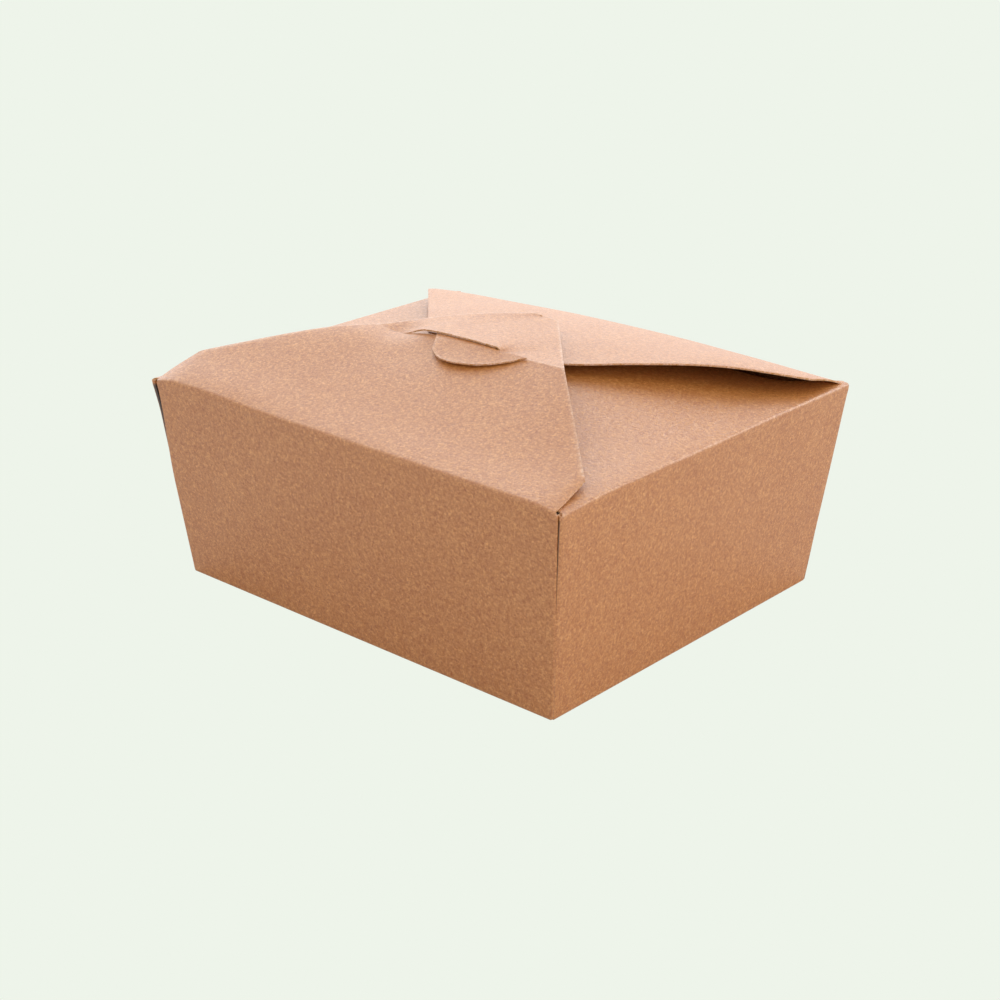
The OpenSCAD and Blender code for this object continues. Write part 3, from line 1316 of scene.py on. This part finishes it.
@dataclass
class Flaps:
    """The four flaps' outlines, each as rows."""

    sizes: TraySizes
    lid: LidRule
    spacing: float = 1.7
    first: float = 0.75
    shoulder: float = 15.8
    forward_shift: float = 0.375
    notch: float = 0.05
    right_more: float = 0.4
    right_more_from: float = 10.0
    right_more_run: float = 25.0
    rear_more: float = 4.5
    rear_more_at: float = 10.0
    rear_more_half: float = 7.0

    def rows(self, corners: list[tuple[float, float]], radii: list[float], near: tuple = ()) -> list[Row]:
        """Rows of a flap.

        Args:
            corners: Outline as (distance from the rim, half width).
            radii: Radius of each inner corner.
            near: Distances from each stretch's ends at which it has rows too.

        Returns:
            The rows, from the rim inwards.
        """
        s = self.sizes
        points, _ = Outline(corners, radii).sample(self.spacing, near=near)
        return [Row(s.flare - d, s.axis_z, -w, w, d, 2.0) for d, w in points if d >= self.first]

    def front(self) -> tuple[list[Row], list[Row]]:
        """Rows of the front flap.

        Returns:
            The rows up to its crease, and those from its crease to its tip.
        """
        lid = self.lid
        far = lid.crease_in + lid.tip_out
        near = (0.25, 0.6, 1.2)
        corners = [(0.0, 79.42), (self.shoulder, 76.72), (lid.crease_in, lid.crease_half)]
        panel = self.rows(corners, [2.5], near)
        tip = self.rows([(lid.crease_in, lid.crease_half), (far, 4.6), (far, 2.0)], [1.3], near)
        for row in panel + tip:
            fold = max(0.0, 1 - row.reach / self.shoulder)
            more = min(1.0, max(0.0, (row.reach - self.right_more_from) / self.right_more_run))
            row.left += self.forward_shift * fold
            row.right += self.forward_shift * fold + self.right_more * more * more * (3 - 2 * more)
            row.right -= self.notch * fold
        return panel, tip

    def rear(self) -> list[Row]:
        """Rows of the rear flap.

        Returns:
            The rows up to the crease line, which its neck passes.
        """
        lid = self.lid
        ridge = lid.top_w - lid.crease_in
        corners = [(0.0, 80.1), (18.1, 79.1), (ridge - 6.0, 21.0), (ridge - 3.0, 11.7), (ridge, 11.7)]
        return self.rows(corners, [1.2, 1.0, 0.8])

    def side(self) -> list[Row]:
        """Rows of the right and left flap.

        Returns:
            The rows, from the rim inwards.
        """
        corners = [(0.0, 68.4), (2.4, 67.8), (12.0, 53.35), (72.0, 44.0), (72.0, 36.0)]
        made = self.rows(corners, [1.0, 3.0, 4.0])
        for row in made:
            away = (row.reach - self.rear_more_at) / self.rear_more_half
            row.right += self.rear_more * math.exp(-away * away)
        return made


@dataclass
class Tray:
    """Base, short walls with their webs, side flaps and rear run: all that the front closes on."""

    sizes: TraySizes
    lid: LidRule
    side_rule: SideRule
    work: BoardWork
    spacing: float = 2.6
    corner_drop: float = 0.55
    corner_spread: float = 9.0
    base_rows: int = 22
    base_columns: int = 26
    side_columns: int = 53
    rear_columns: int = 73
    turn_steps: int = 9
    web_steps: int = 5
    web_reach: float = 0.2
    # Where the painted shade starts on a web's turn, and over what share of the turn it grows.
    dark_from: float = 0.42
    dark_run: float = 0.12

    def build(self) -> bpy.types.Object:
        """Builds the tray with its three fixed flaps as one sheet.

        Returns:
            The finished piece.
        """
        parts = [self.base(), self.side_walls(), self.rear_run()]
        done = [self.work.finish(part) for part in parts]
        whole = join(done, "board_tray")
        self.settle_corner(whole)
        return whole

    def base(self) -> bpy.types.Object:
        """The flat base between the walls' strips.

        Returns:
            The board's middle, in millimetres.
        """
        s = self.sizes
        half_l, half_w = s.base_l / 2 - s.lap, s.base_w / 2 - s.lap
        along_y = np.linspace(-half_w, half_w, self.base_rows)
        along_x = np.linspace(-half_l, half_l, self.base_columns)
        grid_y, grid_x = np.meshgrid(along_y, along_x, indexing="ij")
        points = np.stack([grid_x, grid_y, np.full_like(grid_x, s.floor)], axis=-1)[:, ::-1]
        plain = Grid(points, np.zeros(points.shape[:2]), butted=tuple(range(self.base_rows)))
        return board_mesh("base", [plain], [])

    def side_walls(self) -> bpy.types.Object:
        """The right wall with its flap and its two webs, and the left one as its mirror image.

        Returns:
            The board's middle, in millimetres.
        """
        s = self.sizes

        def ends(share: float) -> tuple[float, float]:
            """Where the wall's flat part ends.

            Args:
                share: Share of the wall's height.

            Returns:
                Its left and right end.
            """
            inset = s.side_inset_foot + (s.side_inset_head - s.side_inset_foot) * share
            half = s.base_w / 2 + s.flare * share - inset
            return -half, half

        run = WallRun(s, Side.RIGHT, ends, s.base_l / 2, s.base_w / 2, Flaps(s, self.lid).side())
        rows = run.rows(self.spacing)
        grids = [run.grid(rows, np.linspace(-1, 1, self.side_columns), butted=(0,))]
        bent = [row for row in rows if row.run == 1.5 and row.reach < self.web_reach]
        wall_rows = [row for row in rows if row.run == 1] + bent
        for end in (-1, 1):
            grids.append(self.web(run, wall_rows, end))
        thing = board_mesh("side walls", grids, [run.foot_mark(), run.rim_mark(0.75)])
        tree = FormTree("side wall form", self.side_rule, self.work.face)
        v = tree.v
        rise = v.roll * (1.0 - (-(tree.reach / v.roll_len)).exp()) + v.slope * tree.reach
        tree.raise_by(rise + tree.ripple())
        tree.join_seams()
        tree.add_mirror(v.left_forward, s.axis_z)
        ahead = ((tree.y + v.lift_front) / v.lift_front_run).ramp()
        behind = ((v.lift_rear - tree.y) / v.lift_rear_run).ramp()
        tree.raise_by(v.right_lift * tree.reach * ahead * behind * tree.x.positive())
        near = v.rim_rise * ((tree.y - v.rim_from) / v.rim_run).ramp()
        far = v.far_rim_rise * ((tree.y - v.far_from) / v.far_run).ramp()
        fall = v.rim_fall * bell(tree.y, v.rim_fall_at, v.rim_fall_half)
        tree.raise_by(tree.spread(near + far - fall) * tree.x.positive())
        tree.close()
        tree.form(thing)
        return thing

    def web(self, run: WallRun, rows: list[Row], end: int) -> Grid:
        """A web: round the wall's edge, along its inside to the web's own fold, and back to the long wall.

        Args:
            run: The short wall.
            rows: Its rows between the bends.
            end: Which end of the wall, -1 or 1.

        Returns:
            The grid.
        """
        s = self.sizes
        radius = s.layer / 2
        foot_half = run.ends(0.0)[1]
        side_lean = math.atan(s.flare / s.slant)
        web_angle = (math.pi / 2 - 2 * side_lean) / 2
        rise = s.slant - s.web_drop
        apex = (foot_half - rise * math.tan(web_angle - side_lean), rise)
        turn = np.linspace(0, math.pi, self.turn_steps)
        steps_in = np.linspace(0, 1, self.web_steps)
        points = []
        for row in rows:
            half = row.right
            up = (row.z - s.floor) / math.cos(s.lean)
            share = up / s.slant
            fold_at = foot_half + (apex[0] - foot_half) * share
            drop = up - apex[1] * share
            width = max(half - fold_at, 0.01)
            bend = min(radius, width / 3)
            u = [half + bend * math.sin(a) for a in turn]
            w = [radius * (1 - math.cos(a)) for a in turn]
            fall = [0.0] * len(turn)
            for t in steps_in[1:]:
                u.append(half - (width - bend) * t)
                w.append(2 * radius)
                fall.append(drop * t)
            for a in turn[1:]:
                u.append(fold_at + bend - bend * math.sin(a))
                w.append(2 * radius + radius * (1 - math.cos(a)))
                fall.append(drop)
            u, w, fall = np.array(u) * end, np.array(w), np.array(fall)
            outs = row.out - w * math.cos(s.lean) - fall * math.sin(s.lean)
            heights = row.z + w * math.sin(s.lean) - fall * math.cos(s.lean)
            outer = run.place(u, outs, heights)
            along = (s.base_w / 2 + s.flare * run.share(row.z) - s.corner_radius - s.return_len) * end
            goal = run.place(np.array([along]), np.array([row.out - 2 * s.layer]), np.array([row.z]))
            back = outer[-1] + (goal[0] - outer[-1]) * steps_in[1:, None]
            points.append(np.concatenate([outer, back]))
        points = np.array(points)
        # Painted shade on the inner part of the web's turn and on its inner layers, deep in the corner's gap.
        deep = np.ones(points.shape[1])
        deep[: self.turn_steps] = np.clip((turn / math.pi - self.dark_from) / self.dark_run, 0, 1)
        depth = np.outer(painted_shade_by_row(s, rows), deep)
        if end < 0:
            points, depth = points[:, ::-1], depth[:, ::-1]
        return Grid(points, np.zeros(depth.shape), depth=depth)

    def rear_run(self) -> bpy.types.Object:
        """The rear wall with the rear flap, its neck and its hook.

        Returns:
            The board's middle, in millimetres.
        """
        flap = Flaps(self.sizes, self.lid).rear()
        long_run = LongRun(self.sizes, Side.REAR, Corner.REAR, Corner.REAR, flap)
        shares = np.linspace(-1, 1, self.rear_columns)
        grids, run = long_run.grids(self.spacing, shares)
        grids.append(self.hook(run, shares))
        thing = board_mesh("rear run", grids, [run.foot_mark(), run.rim_mark(0.5), *self.hook_marks(run)])
        tree = FormTree("rear flap form", self.lid, self.work.face)
        v = tree.v
        height = rear_height(v, tree.x, tree.reach, tree.x / self.lid.crease_half, tree.beyond)
        fall = v.corner_fall * bell(tree.x, v.corner_fall_at, v.corner_fall_half)
        tree.raise_by((height + tree.ripple()) * tree.on_flap() - tree.spread(fall))
        tree.join_seams()
        tree.close()
        tree.form(thing)
        return thing

    def hook(self, run: WallRun, shares: np.ndarray) -> Grid:
        """The round end on the neck, drawn as rows from the crease to its round edge.

        Args:
            run: The rear wall, whose flap carries it.
            shares: The neck's own places, which the hook shares.

        Returns:
            The grid.
        """
        s, lid, hook = self.sizes, self.lid, Hook()
        ridge = lid.top_w - lid.crease_in
        ear, ear_set = hook.outline[-1]
        neck = hook.neck_half
        along = np.concatenate([neck * shares, np.linspace(neck, ear, hook.ear_columns)[1:]])
        edge = hook.edge(len(along))
        start = np.where(along > neck, np.minimum(ear_set, (along - neck) * hook.ear_slope), 0.0)
        points, reach = [], []
        for share in 1 - (1 - np.linspace(0, 1, hook.rows)) ** hook.row_crowding:
            x = along + (edge[:, 0] - along) * share
            v = start + (edge[:, 1] - start) * share
            points.append(run.place(-x[::-1], s.flare - ridge - v[::-1], np.full(len(x), s.axis_z)))
            reach.append(ridge + v[::-1])
        return Grid(np.array(points), np.array(reach), beyond=True)

    def hook_marks(self, run: WallRun) -> list[tuple[np.ndarray, np.ndarray, float]]:
        """Short lines round the hook's cut edge, whose colour is lightened as a painted highlight and partly
        as worn fibres.

        Args:
            run: The rear wall, whose flap carries it.

        Returns:
            Ends of each line, and how much its colour is lightened.
        """
        hook = Hook()
        edge = hook.edge(hook.worn_lines)
        out = self.sizes.flare - (self.lid.top_w - self.lid.crease_in) - edge[:, 1]
        points = run.place(-edge[:, 0], out, np.full(len(edge), self.sizes.axis_z))
        return [(start, end, hook.worn) for start, end in zip(points, points[1:])]

    def settle_corner(self, thing: bpy.types.Object) -> None:
        """Lets the rear left corner of the rim stand a little low, as it does on the real box.

        Args:
            thing: The tray, in metres.
        """
        s = self.sizes
        corner = np.array([-s.top_l / 2, s.top_w / 2, s.axis_z]) * MM
        mesh = thing.data
        points = np.empty(len(mesh.vertices) * 3, np.float32)
        mesh.vertices.foreach_get("co", points)
        points = points.reshape(-1, 3)
        away = np.linalg.norm(points - corner, axis=1) / (self.corner_spread * MM)
        points[:, 2] -= self.corner_drop * MM * np.exp(-away * away)
        mesh.vertices.foreach_set("co", points.ravel())
        mesh.update()


@dataclass
class LongRun:
    """A long wall, whose ends turn in at the upright corners, with its flap."""

    sizes: TraySizes
    side: Side
    left: Corner
    right: Corner
    flap: list[Row]
    turn_steps: int = 6
    return_steps: int = 4
    # Where the painted shade starts on a turned end, in millimetres in, and over what distance it grows.
    dark_from: float = 0.25
    dark_run: float = 0.15

    def ends(self, share: float) -> tuple[float, float]:
        """Where the wall's flat part ends.

        Args:
            share: Share of the wall's height.

        Returns:
            Its left and right end.
        """
        s = self.sizes
        full = s.base_l / 2 + s.flare * share - s.corner_radius
        return self.left.value.at(share) - full, full - self.right.value.at(share)

    def grids(self, spacing: float, shares: np.ndarray) -> tuple[list[Grid], WallRun]:
        """The run as grids that share their points.

        Args:
            spacing: Longest step up the wall.
            shares: Places along a row, from -1 to 1.

        Returns:
            The grids of the foot, the wall and the flap, and the run itself.
        """
        s = self.sizes
        run = WallRun(s, self.side, self.ends, s.base_w / 2, s.base_l / 2, self.flap)
        rows = run.rows(spacing)
        foot = max(index for index, row in enumerate(rows) if row.run == 0.5)
        head = min(index for index, row in enumerate(rows) if row.run == 1.5)
        across = np.repeat(shares[None, :], len(rows) - head, axis=0)
        grids = [
            run.grid(rows[: foot + 1], shares, butted=(0,)),
            self.turned_ends(run, rows[foot : head + 1], shares),
            run.grid(rows[head:], shares, across=across),
        ]
        return grids, run

    def turned_ends(self, run: WallRun, rows: list[Row], shares: np.ndarray) -> Grid:
        """The wall, whose ends turn inwards to the webs.

        Args:
            run: The wall.
            rows: Its rows between the bends.
            shares: Places along a row, from -1 to 1.

        Returns:
            The grid.
        """
        s = self.sizes
        radius = s.corner_radius
        angles = np.linspace(0, math.pi / 2, self.turn_steps)[1:]
        steps = np.linspace(0, 1, self.return_steps + 1)[1:]
        eased = steps * steps * (3 - 2 * steps)
        dip = np.concatenate([radius * (1 - np.cos(angles)), radius + s.return_len * steps])
        points = []
        for row in rows:
            goal = s.base_l / 2 + s.flare * run.share(row.z) - 2 * s.layer
            flat = row.left + (row.right - row.left) * (shares + 1) / 2
            sides = []
            for end in (row.left, row.right):
                sign = math.copysign(1.0, end)
                turned = abs(end) + radius
                bend = abs(end) + radius * np.sin(angles)
                sides.append(sign * np.concatenate([bend, turned + (goal - turned) * eased]))
            along = np.concatenate([sides[0][::-1], flat, sides[1]])
            deep = np.concatenate([dip[::-1], 0 * flat, dip])
            points.append(run.place(along, row.out - deep, np.full(len(along), row.z)))
        points = np.array(points)
        # Painted shade on the turned end, deep in the corner's gap.
        dark = np.clip((dip - self.dark_from) / self.dark_run, 0, 1)
        dark = np.concatenate([dark[::-1], 0 * shares, dark])
        return Grid(points, np.zeros(points.shape[:2]), depth=np.outer(painted_shade_by_row(s, rows), dark))


@dataclass
class Front:
    """The front wall and the flap that closes last, with the slit that takes the hook: one sheet."""

    sizes: TraySizes
    lid: LidRule
    work: BoardWork
    spacing: float = 2.6
    fine: float = 0.55
    coarse: float = 1.9
    shoulder: float = 17.0
    round_rows: int = 8

    def build(self) -> bpy.types.Object:
        """Builds the wall, its fold and the flap as one sheet that is parted along the slit.

        Returns:
            The finished piece.
        """
        s, lid = self.sizes, self.lid
        panel, tip = Flaps(s, lid).front()
        shares = self.places(tip[0])
        long_run = LongRun(s, Side.FRONT, Corner.FRONT_LEFT, Corner.FRONT_RIGHT, panel)
        grids, run = long_run.grids(self.spacing, shares)
        across = np.repeat(shares[None, :], len(tip), axis=0)
        grids.append(run.grid(tip, shares, across=across, beyond=True))
        crease = s.flare - lid.crease_in
        marks = [
            run.foot_mark(),
            run.rim_mark(0.45),
            (*run.mark(tip[0].left, lid.slit_left, crease, s.axis_z), 0.7),
            (*run.mark(lid.slit_left, lid.slit_right, crease, s.axis_z), 0.85),
            (*run.mark(lid.slit_right, tip[0].right, crease, s.axis_z), 0.7),
        ]
        # The flap's cut edges are lightened in the colour: a painted highlight, partly worn fibres.
        shoulder = min(panel, key=lambda row: abs(row.reach - self.shoulder))
        far = tip[-self.round_rows]
        for a, b in ((shoulder, tip[0]), (tip[0], far), (far, tip[-1])):
            for end in ("left", "right"):
                start = run.mark(getattr(a, end), getattr(a, end), a.out, a.z)[0]
                marks.append((start, run.mark(getattr(b, end), getattr(b, end), b.out, b.z)[0], 1.0))
        thing = board_mesh("board_front", grids, marks)
        tree = FormTree("front form", lid, self.work.face)
        v = tree.v
        height = front_height(v, tree.x, tree.reach, tree.across, tree.beyond)
        rim = v.rim_rise + v.left_rim_rise * bell(tree.x, v.left_rim_at, v.left_rim_half)
        ends = ((v.rim_end - abs(tree.x)) / v.rim_end_run).ramp()
        tree.raise_by((height + tree.ripple()) * tree.on_flap() + tree.spread(rim * ends))
        tree.join_seams()
        tree.close()
        tree.form(thing)
        return self.work.finish(thing)

    def places(self, crease: Row) -> np.ndarray:
        """Places across the flap, closer together along its slit.

        Args:
            crease: The row at the crease.

        Returns:
            The places, from -1 at the row's left end to 1 at its right end.
        """
        stops = [crease.left, self.lid.slit_left - 1.0, self.lid.slit_right + 1.0, crease.right]
        runs = []
        for start, end, step in zip(stops, stops[1:], (self.coarse, self.fine, self.coarse)):
            runs.append(np.linspace(start, end, int((end - start) / step) + 2)[1:])
        along = np.concatenate([[crease.left], *runs])
        return 2 * (along - crease.left) / (crease.right - crease.left) - 1


def join(things: list[bpy.types.Object], name: str) -> bpy.types.Object:
    """Joins finished pieces into one object.

    Args:
        things: The pieces, in metres.
        name: The joined object's name.

    Returns:
        The object.
    """
    with bpy.context.temp_override(active_object=things[0], selected_editable_objects=things):
        bpy.ops.object.join()
    things[0].name = name
    things[0].data.name = name
    return things[0]


@dataclass(frozen=True)
class Lamp:
    """A soft light that faces the box, placed by its direction."""

    name: str
    azimuth: float
    height: float
    far: float
    size: float
    power: float

    def place(self) -> Vector:
        """Where it stands, in metres."""
        a, h = math.radians(self.azimuth), math.radians(self.height)
        return self.far * Vector((math.sin(a) * math.cos(h), -math.cos(a) * math.cos(h), math.sin(h)))

    def build(self) -> None:
        """Adds the light."""
        data = bpy.data.lights.new(self.name, "AREA")
        data.shape = "SQUARE"
        data.size = self.size
        data.energy = self.power
        thing = bpy.data.objects.new(self.name, data)
        thing.location = self.place()
        aim = Vector((0, 0, 0.05)) - thing.location
        thing.rotation_mode = "QUATERNION"
        thing.rotation_quaternion = aim.to_track_quat("-Z", "Y")
        bpy.context.scene.collection.objects.link(thing)


@dataclass
class Studio:
    """Floor, light and camera."""

    backdrop: tuple[float, float, float] = (0.855, 0.905, 0.823)
    floor_size: float = 24.0
    floor_tone: float = 0.62
    floor_glow: tuple[float, float, float] = (1.05, 1.05, 1.05)
    glow_from: float = 0.35
    glow_over: float = 1.4
    lens: float = 67.26
    azimuth: float = 41.129
    elevation: float = 21.977
    roll: float = 0.462
    camera_at: tuple[float, float, float] = (0.3592, -0.41108, 0.24628)
    sky: tuple[float, float, float] = (0.9, 0.9, 0.9)
    lamps: tuple = (
        Lamp("behind", 221.0, 15.0, 2.4, 1.8, 10.5),
        Lamp("behind high", 221.0, 34.0, 1.6, 1.0, 2.8),
        Lamp("behind right", 172.0, 12.0, 2.0, 1.4, 24.0),
        Lamp("behind left", 262.0, 16.0, 2.0, 1.4, 12.0),
        Lamp("front right", 75.0, 14.0, 1.6, 1.0, 6.0),
    )

    def build(self) -> None:
        """Builds everything round the object."""
        self.camera()
        self.world()
        self.floor()
        for lamp in self.lamps:
            lamp.build()
        view = bpy.context.scene.view_settings
        view.view_transform = "Standard"

    def camera(self) -> None:
        """Sets the camera at the photograph's viewing angle."""
        data = bpy.data.cameras.new("camera")
        data.lens = self.lens
        data.sensor_width = 36.0
        data.clip_start = 0.01
        data.clip_end = 60.0
        thing = bpy.data.objects.new("camera", data)
        a, e, r = (math.radians(angle) for angle in (self.azimuth, self.elevation, self.roll))
        back = Vector((math.sin(a) * math.cos(e), -math.cos(a) * math.cos(e), math.sin(e)))
        right = (-back).cross(Vector((0, 0, 1))).normalized()
        up = right.cross(-back)
        turned_right = math.cos(r) * right + math.sin(r) * up
        turned_up = -math.sin(r) * right + math.cos(r) * up
        matrix = Matrix((turned_right, turned_up, back)).transposed().to_4x4()
        matrix.translation = self.camera_at
        thing.matrix_world = matrix
        bpy.context.scene.collection.objects.link(thing)
        bpy.context.scene.camera = thing

    def world(self) -> None:
        """Lights the scene evenly, and shows the backdrop's own colour to the camera."""
        world = bpy.data.worlds.new("studio")
        world.use_nodes = True
        world.node_tree.nodes.clear()
        graph = Graph(world.node_tree)
        seen = graph.node("ShaderNodeBackground", None, {"Color": (*self.backdrop, 1.0), "Strength": 1.0})
        light = graph.node("ShaderNodeBackground", None, {"Color": (*self.sky, 1.0), "Strength": 1.0})
        path = graph.node("ShaderNodeLightPath")
        sockets = {0: path.outputs["Is Camera Ray"], 1: light.outputs[0], 2: seen.outputs[0]}
        mixed = graph.node("ShaderNodeMixShader", None, sockets)
        graph.node("ShaderNodeOutputWorld", None, {"Surface": mixed.outputs[0]})
        bpy.context.scene.world = world

    def floor(self) -> None:
        """Lays the floor, whose light reaches the box while the camera sees the backdrop's own colour."""
        half = self.floor_size / 2
        mesh = bpy.data.meshes.new("floor")
        points = [(-half, -half, 0), (half, -half, 0), (half, half, 0), (-half, half, 0)]
        mesh.from_pydata(points, [], [(0, 1, 2, 3)])
        thing = bpy.data.objects.new("floor", mesh)
        made = bpy.data.materials.new("floor")
        made.use_nodes = True
        made.node_tree.nodes.clear()
        graph = Graph(made.node_tree)
        matt = graph.node("ShaderNodeBsdfDiffuse", None, {"Color": (*[self.floor_tone] * 3, 1.0)})
        lit = graph.node("ShaderNodeEmission", None, {"Color": (*self.floor_glow, 1.0), "Strength": 1.0})
        place = graph.term("ShaderNodeTexCoord", output="Object")
        away = graph.term("ShaderNodeVectorMath", {"operation": "LENGTH"}, {0: place}, "Value")
        far = ((away - self.glow_from) / self.glow_over).ramp()
        ground = graph.node("ShaderNodeMixShader", None, {0: far, 1: matt.outputs[0], 2: lit.outputs[0]})
        seen = graph.node("ShaderNodeEmission", None, {"Color": (*self.backdrop, 1.0), "Strength": 1.0})
        path = graph.node("ShaderNodeLightPath")
        sockets = {0: path.outputs["Is Camera Ray"], 1: ground.outputs[0], 2: seen.outputs[0]}
        mixed = graph.node("ShaderNodeMixShader", None, sockets)
        graph.node("ShaderNodeOutputMaterial", None, {"Surface": mixed.outputs[0]})
        mesh.materials.append(made)
        bpy.context.scene.collection.objects.link(thing)


def corners(box: tuple[Vector, Vector]) -> list[list[float]]:
    """A box's corners as plain lists of numbers."""
    return [list(map(float, corner)) for corner in box]


def main() -> None:
    """Builds the box and the studio, and lets the tray ride on its body."""
    logging.basicConfig(level=logging.INFO, format="%(name)s: %(message)s")
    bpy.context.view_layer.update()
    Studio().build()
    sizes = TraySizes.from_frame()
    lid = LidRule(top_l=sizes.top_l, top_w=sizes.top_w)
    face = KraftFinish("kraft face", (0.478, 0.173, 0.034))
    # The cut edges' colour is lighter than the face: partly the board's paler cut fibres, partly a painted
    # highlight.
    edge = KraftFinish("kraft cut edge", (0.56, 0.31, 0.16), roughness=0.8, shine=0.2, worn=0.0, seed=0.4)
    work = BoardWork(sizes.board, face.material(), edge.material())

    tray = Tray(sizes, lid, SideRule(), work).build()
    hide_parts("folded_box")
    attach(tray, "box")
    log.info("tray: %d faces", len(tray.data.polygons))

    front = Front(sizes, lid, work).build()
    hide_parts("front_flap")
    hinge = Vector((0.0, sizes.front_y, sizes.axis_z)) * MM
    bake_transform(front)
    log.info("front: %d faces", len(front.data.polygons))


if __name__ == "__main__":
    main()
